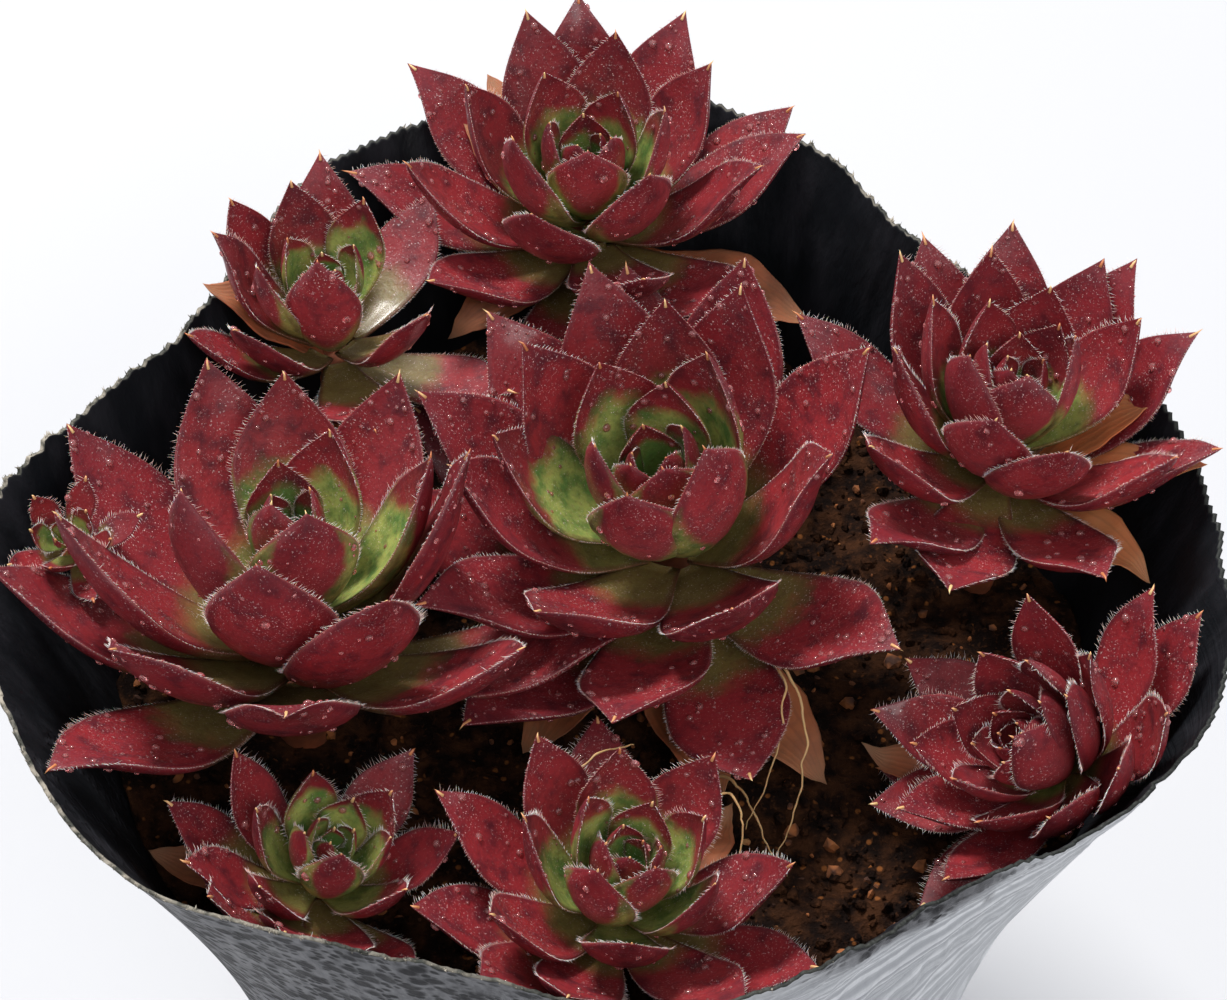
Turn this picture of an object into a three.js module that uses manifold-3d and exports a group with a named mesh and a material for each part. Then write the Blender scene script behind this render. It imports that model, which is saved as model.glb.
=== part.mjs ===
// A potted houseleek: nine rosettes of fleshy, pointed leaves in a soft film nursery pot.
// Millimetres, +Z up. The origin is the middle of the pot's flat underside.
import * as THREE from 'three';
import { mergeVertices } from 'three/addons/utils/BufferGeometryUtils.js';
import Module from 'manifold-3d';

const wasm = await Module();
wasm.setup();

// ---------------------------------------------------------------- driving dimensions

const CLEARANCE = 0.35;            // gap left between two pieces that meet
const FINEST_DETAIL = 0.1;         // slivers smaller than this are smoothed away
const GOLDEN_ANGLE = 137.508;      // turn from one leaf of a rosette to the next, degrees
const CLOSED_BUD = 2;              // leaves still shut in the bud, which the core's top stands for

// The film pot: a 13 cm nursery pot whose thin wall flares and sags into soft lobes at the rim.
const POT = { height: 105, baseRadius: 42, rimRadius: 62.5, flarePower: 2, wall: 1.2, floor: 1.2 };
const POT_SIDES = 48;
const WALL_LEVELS = [30, 58, 77, 92]; // heights where the straight facets of the flared wall meet
const RIM_LOBES = [                   // lobes round the rim, depth in mm, direction of one lobe
  { count: 3, depth: 4.5, toward: -25 },
  { count: 4, depth: 2.5, toward: 5 },
  { count: 7, depth: 1.5, toward: -30 },
];
const DRAIN = { count: 6, ring: 27, radius: 3.5 };

// The peat: its level at the middle, its lumps, and the heap against the front right wall, which
// starts at one distance from the middle and is full at the other.
const SOIL = { level: 79, lump: 0.7, heap: 2.4, heapStart: 22, heapFull: 50, rings: 4, wallGap: 0.6 };

// All heads grow by one rule. Leaves that are 0, 30, 60 and 100 hundredths of the way out have
// these slopes in degrees, and these lengths against the reach.
const AGE_MARKS = [0, 0.3, 0.6, 1];
const RISE = [88, 66, 46, 14];
const GROW = [0.28, 0.73, 0.97, 1];

// Each rosette: the place of its growing point, the lean of its axis (x and y per unit of z), the
// direction of its first leaf, the hand of its spiral, its number of leaves, and its reach, the
// length of its oldest leaf. Open is how many degrees flatter its middle leaves lie. Crowded lists
// the leaves that found no room and never grew, and nudged gives the swing and the lift, in degrees,
// of leaves that stand out of line.
const ROSETTES = [
  { name: 'centre', at: [6, 6, 101], lean: [-0.15, -0.1], turn: 185, hand: 1, leaves: 42, reach: 31,
    open: 0, crowded: [5, 9, 16, 17, 19, 30, 33, 38, 41],
    nudged: { 8: [0, 5], 11: [5, 0], 12: [5, 5], 13: [5, -10], 14: [5, 10], 15: [-5, -5], 18: [0, 5],
              22: [10, 5], 27: [-5, 5], 28: [-10, 0], 36: [0, 5] } },
  { name: 'left', at: [-33, -4, 101], lean: [0, 0.25], turn: 160, hand: -1, leaves: 32, reach: 32,
    open: 0, crowded: [4, 5, 8, 12, 13, 19, 22, 24, 27, 29],
    nudged: { 7: [10, -5], 9: [0, -10], 11: [5, -5], 14: [20, 0], 15: [10, 0], 17: [10, 10], 20: [5, 5],
              23: [0, 5], 26: [10, -5], 28: [5, 15], 31: [15, -10] } },
  { name: 'right', at: [44, 14, 106], lean: [0.1, 0.05], turn: 285, hand: -1, leaves: 42, reach: 25,
    open: 0, crowded: [5, 13, 18, 23, 27, 32, 33, 38, 39, 40, 41],
    nudged: { 10: [5, 10], 12: [-5, 10], 15: [-5, -5], 16: [0, -5], 24: [-5, -10], 26: [5, 0],
              28: [10, 5], 29: [-5, -20], 30: [-10, 0], 31: [-10, -5], 37: [0, 5] } },
  { name: 'back', at: [-2, 51, 106], lean: [0, -0.05], turn: 15, hand: -1, leaves: 30, reach: 26,
    open: 5, crowded: [28, 29],
    nudged: { 10: [-5, -5], 16: [5, 0], 26: [-20, -10] } },
  { name: 'front', at: [2, -39, 94], lean: [0.15, 0], turn: 35, hand: -1, leaves: 32, reach: 21,
    open: 10, crowded: [18, 21, 23, 26, 27, 28, 29],
    nudged: { 13: [5, 0] } },
  { name: 'back_left', at: [-31, 32, 105], lean: [0, 0], turn: 330, hand: 1, leaves: 22, reach: 20,
    open: -5, crowded: [5, 8, 11, 16],
    nudged: { 6: [-15, -5], 9: [-10, 5], 10: [5, 20], 12: [0, 10], 15: [5, 10], 19: [-5, 0],
              20: [15, -20] } },
  { name: 'tilted', at: [44, -25, 97], lean: [-0.8, -0.25], turn: 160, hand: -1, leaves: 36, reach: 19,
    open: 0, crowded: [16, 24, 28, 32, 33],
    nudged: { 12: [0, 15], 14: [5, 10], 17: [10, 10], 22: [-5, 15], 25: [0, -10], 27: [-10, -10],
              30: [-5, -20] } },
  { name: 'front_left', at: [-28, -36, 93], lean: [0.3, 0], turn: 105, hand: 1, leaves: 28, reach: 16,
    open: 5, crowded: [4, 13, 20, 21, 23, 26],
    nudged: { 9: [10, 10], 10: [0, 10], 27: [0, -10] } },
  { name: 'far_left', at: [-57, -2, 103], lean: [-0.05, -0.4], turn: 10, hand: -1, leaves: 14, reach: 7.5,
    open: -5, crowded: [12],
    nudged: {} },
];

// Withered leaves that still hang from the stem under a head: direction, slope and length of each.
const WITHERED = {
  centre: [[-80, -5, 28], [-60, -5, 30], [-125, -5, 26], [-10, -5, 20]],
  left: [[-175, -5, 26]],
  right: [[-30, 0, 26], [5, 10, 22], [-50, -5, 22]],
  back: [[-15, 0, 28], [125, 20, 26], [145, 15, 24], [-150, -5, 20]],
  front: [[55, -5, 21], [-10, -5, 18]],
  back_left: [[180, 5, 20]],
  tilted: [[150, -5, 18]],
  front_left: [[160, 0, 20]],
  far_left: [],
};

const LONG_LEAF = 11;              // a leaf longer than this is lofted through more sections
const LONG_STATIONS = [0, 0.38, 0.66, 0.87];
const SHORT_STATIONS = [0, 0.6];
const WALL_ROOM = 1;               // a leaf keeps this far off the wall, and PEAT_ROOM off the peat
const PEAT_ROOM = 0.8;
const BEND_STEP = 4;               // degrees by which a leaf bends up until it clears them
const UPRIGHT = 88;
const WITHERED_BLADE = { bend: -14, widthShare: 0.17, thickness: 1.2, cup: 0.2 };
const UNDERSIDE = -0.46;           // underside of a head's core, in reaches from its growing point
const STEM = {
  perReach: 0.085, thinnest: 1.6, sides: 8, steps: 8, depth: 11, rootBend: 4, farthestRoot: 46,
};

const LOOKS = {
  pot: { color: 0x1b1b1d, roughness: 0.55 },
  soil: { color: 0x33221a, roughness: 1.0 },
  leaf: { color: 0x7c1f2b, roughness: 0.5 },
  stem: { color: 0x7a4a2b, roughness: 0.9 },
};

// ---------------------------------------------------------------- small helpers

const radians = THREE.MathUtils.degToRad;
const UP = new THREE.Vector3(0, 0, 1);

/** The value at t on straight lines through the points (marks[i], values[i]). */
function along(t, marks, values) {
  let i = 1;
  while (i < marks.length - 1 && t > marks[i]) i += 1;
  const share = (t - marks[i - 1]) / (marks[i] - marks[i - 1]);
  return THREE.MathUtils.lerp(values[i - 1], values[i], THREE.MathUtils.clamp(share, 0, 1));
}

/** A closed three.js geometry as a solid for joining and cutting. */
function solidOf(geometry) {
  const bare = geometry.clone();
  bare.deleteAttribute('normal');
  bare.deleteAttribute('uv');
  const merged = mergeVertices(bare, 1e-4);
  return new wasm.Manifold(new wasm.Mesh({
    numProp: 3,
    vertProperties: new Float32Array(merged.attributes.position.array),
    triVerts: new Uint32Array(merged.index.array),
  }));
}

/** The solid's largest body without slivers: what a cut leaves loose falls away. */
function largestBody(solid) {
  const bodies = solid.simplify(FINEST_DETAIL).decompose();
  return bodies.reduce((best, body) => (body.volume() > best.volume() ? body : best));
}

/** A solid as a named three.js mesh. */
function meshOf(name, solid, look) {
  const { vertProperties, triVerts } = solid.getMesh();
  const geometry = new THREE.BufferGeometry();
  geometry.setAttribute('position', new THREE.BufferAttribute(new Float32Array(vertProperties), 3));
  geometry.setIndex(new THREE.BufferAttribute(new Uint32Array(triVerts), 1));
  geometry.computeVertexNormals();
  const mesh = new THREE.Mesh(geometry, new THREE.MeshStandardMaterial({ ...look, metalness: 0 }));
  mesh.name = name;
  return mesh;
}

/** A closed body lofted through rings of points, with flat or pointed ends. */
function loft(rings) {
  const points = [];
  const starts = rings.map((ring) => {
    const start = points.length / 3;
    ring.forEach((p) => points.push(p.x, p.y, p.z));
    return start;
  });
  const faces = [];
  for (let i = 1; i < rings.length; i += 1) {
    const [a, b] = [rings[i - 1], rings[i]];
    const wide = Math.max(a.length, b.length);
    for (let k = 0; k < wide; k += 1) {
      const next = (k + 1) % wide;
      const corner = (ring, start, j) => (ring.length === 1 ? start : start + j);
      const a0 = corner(a, starts[i - 1], k);
      const a1 = corner(a, starts[i - 1], next);
      const b0 = corner(b, starts[i], k);
      const b1 = corner(b, starts[i], next);
      if (a.length > 1) faces.push(a0, a1, b1);
      if (b.length > 1) faces.push(a0, b1, b0);
    }
  }
  const cap = (ring, start, flip) => {
    for (let k = 1; k < ring.length - 1; k += 1) {
      faces.push(start, start + (flip ? k + 1 : k), start + (flip ? k : k + 1));
    }
  };
  cap(rings[0], starts[0], true);
  cap(rings.at(-1), starts.at(-1), false);
  const geometry = new THREE.BufferGeometry();
  geometry.setAttribute('position', new THREE.BufferAttribute(new Float32Array(points), 3));
  geometry.setIndex(faces);
  return geometry;
}

// ---------------------------------------------------------------- pot and soil

/** Radius of the rim's outline in one direction: a circle with soft lobes. */
function rimRadius(angle) {
  const swell = RIM_LOBES.map((lobe) => lobe.depth * Math.cos(lobe.count * (angle - radians(lobe.toward))));
  return swell.reduce((sum, depth) => sum + depth, POT.rimRadius);
}

/** Outer radius of the pot at a height: from the round base it flares into the rim's outline. */
function potRadius(angle, z) {
  const share = Math.max(z / POT.height, 0) ** POT.flarePower;
  return POT.baseRadius + (rimRadius(angle) - POT.baseRadius) * share;
}

/** Ring of points that follows the pot's outline at a height, moved in by an inset. */
function outlineRing(z, inset) {
  return Array.from({ length: POT_SIDES }, (_, k) => {
    const angle = (2 * Math.PI * k) / POT_SIDES;
    const radius = potRadius(angle, z) - inset;
    return new THREE.Vector3(radius * Math.cos(angle), radius * Math.sin(angle), z);
  });
}

/** The pot's wall and floor, with a chosen amount added on every side. */
function potSolid(grow = 0) {
  const levels = [0, ...WALL_LEVELS, POT.height];
  const outer = levels.map((z) => outlineRing(z, -grow));
  const inner = levels.slice(1).reverse().map((z) => outlineRing(z, POT.wall + grow));
  const floor = outlineRing(POT.floor + grow, POT.wall + grow);
  const cup = solidOf(loft([...outer, ...inner, floor]));
  if (grow > 0) return cup;
  const holes = Array.from({ length: DRAIN.count }, (_, k) => {
    const angle = (2 * Math.PI * k) / DRAIN.count;
    const drill = new THREE.CylinderGeometry(DRAIN.radius, DRAIN.radius, 4 * POT.floor, 12);
    drill.rotateX(Math.PI / 2);
    drill.translate(DRAIN.ring * Math.cos(angle), DRAIN.ring * Math.sin(angle), 0);
    return solidOf(drill);
  });
  return cup.subtract(wasm.Manifold.union(holes));
}

/** Height of the peat's surface: level, softly lumpy, heaped against the front right wall. */
function soilTop(x, y) {
  const lumps = Math.sin(x / 6.5 + 1) * Math.cos(y / 7.5) + 0.7 * Math.sin((x - 1.6 * y) / 5);
  const toFrontRight = THREE.MathUtils.smoothstep(0.55 * x - 0.83 * y, SOIL.heapStart, SOIL.heapFull);
  return SOIL.level + SOIL.lump * lumps + SOIL.heap * toFrontRight;
}

/** The block of peat: it fills the pot but for a small gap and has a lumpy top. */
function soilSolid() {
  const inset = POT.wall + SOIL.wallGap;
  const below = WALL_LEVELS.filter((z) => z < SOIL.level);
  const sides = [POT.floor + CLEARANCE, ...below].map((z) => outlineRing(z, inset));
  const lowestEdge = SOIL.level - 2 * SOIL.lump;
  const edge = outlineRing(lowestEdge, inset);
  const top = Array.from({ length: SOIL.rings }, (_, i) => {
    const share = 1 - i / SOIL.rings;
    return edge.map((p) => {
      const [x, y] = [p.x * share, p.y * share];
      return new THREE.Vector3(x, y, soilTop(x, y));
    });
  });
  const middle = [new THREE.Vector3(0, 0, soilTop(0, 0))];
  return solidOf(loft([...sides, ...top, middle]));
}

// ---------------------------------------------------------------- leaves

/** Half-width of a leaf along its length, against its widest: a blade drawn out to a point. */
function bladeOutline(s) {
  const [foot, widest, draw] = [0.4, 0.58, 1.12];
  if (s < widest) return foot + (1 - foot) * Math.sin((Math.PI / 2) * (s / widest)) ** 1.15;
  const u = (s - widest) / (1 - widest);
  return (1 - u) ** draw * (1 + draw * u);
}

/** Size and posture of leaf n of a rosette, counted from the youngest in the bud outwards. */
function leafShape(rosette, n) {
  const age = n / (rosette.leaves - 1);
  const size = along(age, AGE_MARKS, GROW);
  const length = rosette.reach * size;
  const [swing, lift] = rosette.nudged[n] ?? [0, 0];
  const flatter = along(age, AGE_MARKS, [0, 0, rosette.open, 0]);
  return {
    length,
    turn: rosette.turn + rosette.hand * n * GOLDEN_ANGLE + swing,
    rise: along(age, AGE_MARKS, RISE) - flatter + lift,
    bend: along(age, [0, 0.35, 0.6, 1], [16, 32, 28, 18]),
    width: length * along(size, [0.2, 0.6, 1], [0.33, 0.3, 0.215]),
    thickness: 0.085 * rosette.reach * along(size, [0.2, 1], [0.45, 1]),
    cup: along(age, [0, 0.5, 1], [0.45, 0.25, 0.12]),
    footRadius: rosette.reach * (0.05 + 0.1 * age),
    footHeight: -0.42 * rosette.reach * age ** 0.75,
  };
}

/** The turn that stands a rosette's own axis on its lean. */
function leanTurn(rosette) {
  const axis = new THREE.Vector3(...rosette.lean, 1).normalize();
  return new THREE.Quaternion().setFromUnitVectors(UP, axis);
}

/** The upright plane's ray from a leaf's foot: radius and height at an angle and a length. */
function ray(angle, length) {
  return new THREE.Vector2(length * Math.cos(angle), length * Math.sin(angle));
}

/**
 * One three-cornered section of a leaf: both edges and the keel, at the share s of its length.
 * With an amount to grow by it has five corners, which keep that far off all three sides.
 */
function leafSection(rosette, shape, s, grow) {
  const [rise, bend, turn] = [radians(shape.rise), radians(shape.bend), radians(shape.turn)];
  const foot = new THREE.Vector2(shape.footRadius, shape.footHeight);
  const belly = ray(rise - bend, 0.55 * shape.length).add(foot);
  const tip = ray(rise, shape.length + grow).add(foot);
  const curve = new THREE.QuadraticBezierCurve(foot, belly, tip);
  const middle = curve.getPoint(s);
  const ahead = curve.getTangent(s);
  const halfWidth = bladeOutline(s) * shape.width;
  const taper = Math.max(1 - s ** 3, 0) ** 0.6 * (0.75 + 0.25 * Math.sin(Math.PI * s));
  const depth = shape.thickness * taper + 2 * grow;
  const [top, keel] = [shape.cup * halfWidth, -0.7 * depth];
  let corners = [[halfWidth, top], [-halfWidth, top], [0, keel]];
  if (grow > 0) {
    const [brim, edge, low] = [halfWidth + grow / 2, halfWidth + grow, top - grow / 3];
    corners = [[brim, top + grow], [-brim, top + grow], [-edge, low], [0, keel], [edge, low]];
  }
  const place = new THREE.Vector3(...rosette.at);
  const leaning = leanTurn(rosette);
  return corners.map(([side, up]) => {
    const radius = middle.x - ahead.y * up;
    const height = middle.y + ahead.x * up;
    const point = new THREE.Vector3(radius, side, height);
    return point.applyAxisAngle(UP, turn).applyQuaternion(leaning).add(place);
  });
}

/** True where a leaf would run into the pot's wall or the peat. */
function touchesPot(rosette, shape) {
  return [0.2, 0.35, 0.5, 0.65, 0.8, 0.9, 0.97].some((s) => leafSection(rosette, shape, s, 0).some((p) => {
    const wall = potRadius(Math.atan2(p.y, p.x), p.z) - POT.wall - WALL_ROOM;
    const inWall = p.z < POT.height + WALL_ROOM && Math.hypot(p.x, p.y) > wall;
    return inWall || p.z < soilTop(p.x, p.y) + PEAT_ROOM;
  }));
}

/** A leaf's shape, bent up until it clears the wall and the peat. */
function settledLeaf(rosette, shape) {
  const settled = { ...shape };
  while (touchesPot(rosette, settled) && settled.rise < UPRIGHT) settled.rise += BEND_STEP;
  return settled;
}

/** A leaf as a solid, with a chosen amount added on every side. */
function leafSolid(rosette, shape, grow = 0) {
  const stations = shape.length > LONG_LEAF ? LONG_STATIONS : SHORT_STATIONS;
  const rings = stations.map((s) => leafSection(rosette, shape, s, grow));
  const tip = leafSection(rosette, shape, 1, grow);
  rings.push(grow > 0 ? tip : [tip[2]]);
  return solidOf(loft(rings));
}

// ---------------------------------------------------------------- rosettes and stems

/** The short fleshy stem inside a head, which every leaf's foot is sunk into. */
function coreSolid(rosette, grow = 0) {
  const side = [[0.09, 0.02], [0.18, -0.12], [0.24, -0.36]];
  const profile = [[0, 0.1], ...side, [0.2, UNDERSIDE], [0, UNDERSIDE]];
  const points = profile.map(([r, z]) => new THREE.Vector2(
    r > 0 ? r * rosette.reach + grow : 0, z * rosette.reach + (z === UNDERSIDE ? -grow : grow)));
  const geometry = new THREE.LatheGeometry(points.reverse(), 7);
  geometry.rotateX(Math.PI / 2);
  geometry.applyQuaternion(leanTurn(rosette));
  geometry.translate(...rosette.at);
  return solidOf(geometry);
}

/** All the living leaves of a rosette, settled. */
function livingLeaves(rosette) {
  return Array.from({ length: rosette.leaves }, (_, n) => n)
    .filter((n) => n >= CLOSED_BUD && !rosette.crowded.includes(n))
    .map((n) => settledLeaf(rosette, leafShape(rosette, n)));
}

/** A head: its core with all its leaves. */
function headSolid(rosette, grow = 0) {
  const leaves = livingLeaves(rosette).map((shape) => leafSolid(rosette, shape, grow));
  return wasm.Manifold.union([coreSolid(rosette, grow), ...leaves]);
}

/** A stem: it hangs from the head's underside along its axis and goes straight down into the peat. */
function stemSolid(rosette, grow = 0) {
  const axis = UP.clone().applyQuaternion(leanTurn(rosette));
  const underside = UNDERSIDE * rosette.reach - CLEARANCE + grow;
  const head = new THREE.Vector3(...rosette.at).addScaledVector(axis, underside);
  const below = head.clone().addScaledVector(axis, -0.15 * rosette.reach);
  const inward = Math.min(1, STEM.farthestRoot / Math.hypot(below.x, below.y));
  const root = new THREE.Vector3(below.x * inward, below.y * inward, SOIL.level - STEM.depth - grow);
  const overRoot = root.clone().setZ(SOIL.level + STEM.rootBend);
  const path = new THREE.CubicBezierCurve3(head, below.clone().lerp(head, 0.3), overRoot, root);
  const radius = Math.max(STEM.thinnest, STEM.perReach * rosette.reach) + grow;
  const section = new THREE.Shape(Array.from({ length: STEM.sides }, (_, k) => {
    const angle = (2 * Math.PI * k) / STEM.sides;
    return new THREE.Vector2(radius * Math.cos(angle), radius * Math.sin(angle));
  }));
  return solidOf(new THREE.ExtrudeGeometry(section, { steps: STEM.steps, extrudePath: path }));
}

/** A withered leaf: thin, limp and narrow, rooted at the top of the stem. */
function witheredSolid(rosette, [turn, rise, length]) {
  const { widthShare, ...posture } = WITHERED_BLADE;
  const foot = { footRadius: 0, footHeight: -0.53 * rosette.reach };
  const shape = { ...posture, ...foot, length, turn, rise, width: widthShare * length };
  const upright = { ...rosette, lean: [0, 0] };
  return leafSolid(upright, settledLeaf(upright, shape));
}

// ---------------------------------------------------------------- the model

const pot = largestBody(potSolid());
const potRoom = potSolid(CLEARANCE);
const heads = [];
const rooms = [];                  // each finished head with its clearance, for the next ones to keep off
for (const rosette of ROSETTES) {
  const taken = wasm.Manifold.union([potRoom, ...rooms]);
  heads.push(largestBody(headSolid(rosette).subtract(taken)));
  rooms.push(headSolid(rosette, CLEARANCE));
}
const allRooms = wasm.Manifold.union([potRoom, ...rooms]);

const stems = [];
const stemRooms = [];
for (const rosette of ROSETTES) {
  const dry = WITHERED[rosette.name].map((values) => witheredSolid(rosette, values));
  const bare = stemSolid(rosette);
  const taken = wasm.Manifold.union([allRooms, ...stemRooms]);
  stems.push(largestBody(wasm.Manifold.union([bare, ...dry]).subtract(taken)));
  stemRooms.push(stemSolid(rosette, CLEARANCE));
}
const soil = largestBody(soilSolid().subtract(wasm.Manifold.union(stemRooms)));

const plant = new THREE.Group();
plant.add(meshOf('pot', pot, LOOKS.pot));
plant.add(meshOf('soil', soil, LOOKS.soil));
ROSETTES.forEach((rosette, i) => {
  plant.add(meshOf(`rosette_${rosette.name}`, heads[i], LOOKS.leaf));
  plant.add(meshOf(`stem_${rosette.name}`, stems[i], LOOKS.stem));
});

export default plant;
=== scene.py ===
# %% [markdown]
# # A potted houseleek
#
# A clump of nine houseleek rosettes grows in a soft film nursery pot. The construction model
# already fixes where every head, stem, wall and lump of peat is. This notebook gives each of them
# its real surface: fleshy leaves with fringed edges and dry points, water drops, crumbly peat,
# withered leaves, and a thin wrinkled film. Every shape is worked out with numpy as whole arrays.

# %% Load the construction model
import bmesh
import bpy
import math
import numpy as np
from itertools import combinations
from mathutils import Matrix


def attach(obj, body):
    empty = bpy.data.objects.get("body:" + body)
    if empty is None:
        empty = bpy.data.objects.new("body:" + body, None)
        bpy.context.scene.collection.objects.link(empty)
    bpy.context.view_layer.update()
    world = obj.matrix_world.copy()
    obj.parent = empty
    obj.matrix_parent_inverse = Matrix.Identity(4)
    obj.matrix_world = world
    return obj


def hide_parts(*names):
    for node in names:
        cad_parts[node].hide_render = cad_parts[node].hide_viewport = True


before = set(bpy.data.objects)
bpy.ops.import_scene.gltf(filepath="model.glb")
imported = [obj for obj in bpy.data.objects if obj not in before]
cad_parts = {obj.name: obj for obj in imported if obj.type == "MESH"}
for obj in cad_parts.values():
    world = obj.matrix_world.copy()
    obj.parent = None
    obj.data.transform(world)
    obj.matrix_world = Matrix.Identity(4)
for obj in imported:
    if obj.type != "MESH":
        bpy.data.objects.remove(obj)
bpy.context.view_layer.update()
MM = 0.001                                   # the sizes below are in millimetres

# %% [markdown]
# ## Camera, floor and light
#
# The plant is seen from in front and well above, at 48 degrees, through a longish lens, as one
# looks at a pot on a table. Soft light from a bright sky keeps the shadows open, a panel above and
# behind gives the leaves and drops their glints, and a weaker one in front fills the shadows.

# %% Camera
VIEW_ELEVATION = math.radians(48)
VIEW_DISTANCE = 0.330
LOOK_AT = np.array([0.0006, 0.0031, 0.105])  # the middle of the pot's mouth
SENSOR = 36.0
IMAGE_WIDTH = 1227
FOCAL_PIXELS = 3102
AXIS_OFFSET = (3.5, -7.0)                    # pixels from the optical axis to the picture's middle

camera_data = bpy.data.cameras.new("camera")
camera_data.sensor_width = SENSOR
camera_data.lens = SENSOR * FOCAL_PIXELS / IMAGE_WIDTH
camera_data.shift_x, camera_data.shift_y = (v / IMAGE_WIDTH for v in AXIS_OFFSET)
camera = bpy.data.objects.new("camera", camera_data)
bpy.context.scene.collection.objects.link(camera)
towards_camera = np.array([0, -math.cos(VIEW_ELEVATION), math.sin(VIEW_ELEVATION)])
camera.location = LOOK_AT + VIEW_DISTANCE * towards_camera
camera.rotation_euler = (math.pi / 2 - VIEW_ELEVATION, 0, 0)
bpy.context.scene.camera = camera

# %% Floor and lights


def plain_material(name, colour, roughness):
    """A material with one colour and one roughness."""
    material = bpy.data.materials.new(name)
    material.use_nodes = True
    shader = material.node_tree.nodes["Principled BSDF"]
    shader.inputs["Base Color"].default_value = (*colour, 1)
    shader.inputs["Roughness"].default_value = roughness
    return material


def add_light(name, place, aim, size, power, colour):
    """A square soft light that looks from its place at a point."""
    data = bpy.data.lights.new(name, "AREA")
    data.size, data.energy, data.color = size, power, colour
    light = bpy.data.objects.new(name, data)
    bpy.context.scene.collection.objects.link(light)
    light.location = place
    direction = np.array(aim) - np.array(place)
    tilt = math.atan2(math.hypot(direction[0], direction[1]), -direction[2])
    turn = math.atan2(direction[1], direction[0]) - math.pi / 2
    light.rotation_euler = (tilt, 0, turn)


FLOOR_HALF, FLOOR_WHITE, FLOOR_ROUGHNESS = 3.0, (0.46, 0.46, 0.475), 0.8
SKY_WHITE, SKY_STRENGTH = (0.93, 0.96, 1.0, 1), 0.92
PLANT_MIDDLE = (0, 0, 0.09)

floor_mesh = bpy.data.meshes.new("floor")
corners = [(x * FLOOR_HALF, y * FLOOR_HALF, 0) for x, y in ((-1, -1), (1, -1), (1, 1), (-1, 1))]
floor_mesh.from_pydata(corners, [], [(0, 1, 2, 3)])
floor = bpy.data.objects.new("floor", floor_mesh)
floor_mesh.materials.append(plain_material("white_table", FLOOR_WHITE, FLOOR_ROUGHNESS))
bpy.context.scene.collection.objects.link(floor)

world = bpy.data.worlds.new("sky")
bpy.context.scene.world = world
world.use_nodes = True
world.node_tree.nodes["Background"].inputs["Color"].default_value = SKY_WHITE
world.node_tree.nodes["Background"].inputs["Strength"].default_value = SKY_STRENGTH
bpy.context.scene.view_settings.view_transform = "Standard"
add_light("panel_above", (-0.25, 0.45, 0.95), PLANT_MIDDLE, 0.26, 13, (1, 0.99, 0.97))
add_light("panel_front", (0.35, -0.75, 0.8), PLANT_MIDDLE, 0.5, 4, (1, 0.98, 0.96))

# %% [markdown]
# ## Turning arrays into pieces
#
# Every piece is a set of points and faces held in numpy arrays. One helper puts them into a mesh,
# together with values per point that the materials read, and ties the piece to the model. The
# others lay out faces and directions for many small bodies at once.

# %% Mesh helper


def make_piece(name, points, faces, material, values=None, replaces=(), smooth_shaded=True):
    """A mesh object from points in millimetres and a list of face arrays, all of one body."""
    mesh = bpy.data.meshes.new(name)
    corners = np.concatenate([f.ravel() for f in faces])
    sizes = np.concatenate([np.full(len(f), f.shape[1]) for f in faces])
    mesh.vertices.add(len(points))
    mesh.vertices.foreach_set("co", (np.asarray(points) * MM).astype(np.float32).ravel())
    mesh.loops.add(len(corners))
    mesh.loops.foreach_set("vertex_index", corners.astype(np.int32))
    mesh.polygons.add(len(sizes))
    mesh.polygons.foreach_set("loop_start", (np.cumsum(sizes) - sizes).astype(np.int32))
    mesh.polygons.foreach_set("use_smooth", np.full(len(sizes), smooth_shaded))
    for key, data in (values or {}).items():
        column = mesh.attributes.new(key, "FLOAT", "POINT").data
        column.foreach_set("value", np.asarray(data, np.float32).ravel())
    mesh.update(calc_edges=True)
    mesh.validate()
    mesh.materials.append(material)
    piece = bpy.data.objects.new(name, mesh)
    bpy.context.scene.collection.objects.link(piece)
    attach(piece, "root")
    if replaces:
        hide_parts(*replaces)
    print(f"{name}: {len(points)} points, {int((sizes - 2).sum())} triangles")


def copies(faces, count, points):
    """The faces of one body repeated for many bodies that have this many points each."""
    return (faces[None] + points * np.arange(count)[:, None, None]).reshape(-1, faces.shape[-1])


def tube_faces(count, rings, sides):
    """Faces of many closed loft bodies, each of rings of points, then a foot point and a tip point."""
    ring, side = np.arange(rings - 1)[:, None] * sides, np.arange(sides)[None, :]
    after = (side + 1) % sides
    quads = np.stack([ring + side, ring + after, ring + sides + after, ring + sides + side], -1)
    side, after = side[0], after[0]
    foot, tip, last = rings * sides, rings * sides + 1, (rings - 1) * sides
    caps = np.concatenate([
        np.stack([after, side, np.full(sides, foot)], -1),
        np.stack([last + side, last + after, np.full(sides, tip)], -1),
    ])
    return [copies(part, count, rings * sides + 2) for part in (quads.reshape(-1, 4), caps)]


def unit(arrows):
    """Each arrow divided by its length."""
    return arrows / np.maximum(np.linalg.norm(arrows, axis=-1, keepdims=True), 1e-9)


def spun(x, y, angle):
    """Plane coordinates turned by an angle."""
    return x * np.cos(angle) - y * np.sin(angle), x * np.sin(angle) + y * np.cos(angle)


def polar(radius, angle, z):
    """Points at a radius, a direction and a height."""
    return np.stack([radius * np.cos(angle), radius * np.sin(angle), z], -1)


def once_round(count):
    """Evenly spaced angles once round."""
    return 2 * np.pi * np.arange(count) / count


def circles(first, second, sides):
    """Circles in the plane of two directions: cosine times the first plus sine times the second."""
    turns = once_round(sides)[:, None]
    return np.cos(turns) * first[:, None] + np.sin(turns) * second[:, None]

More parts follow.
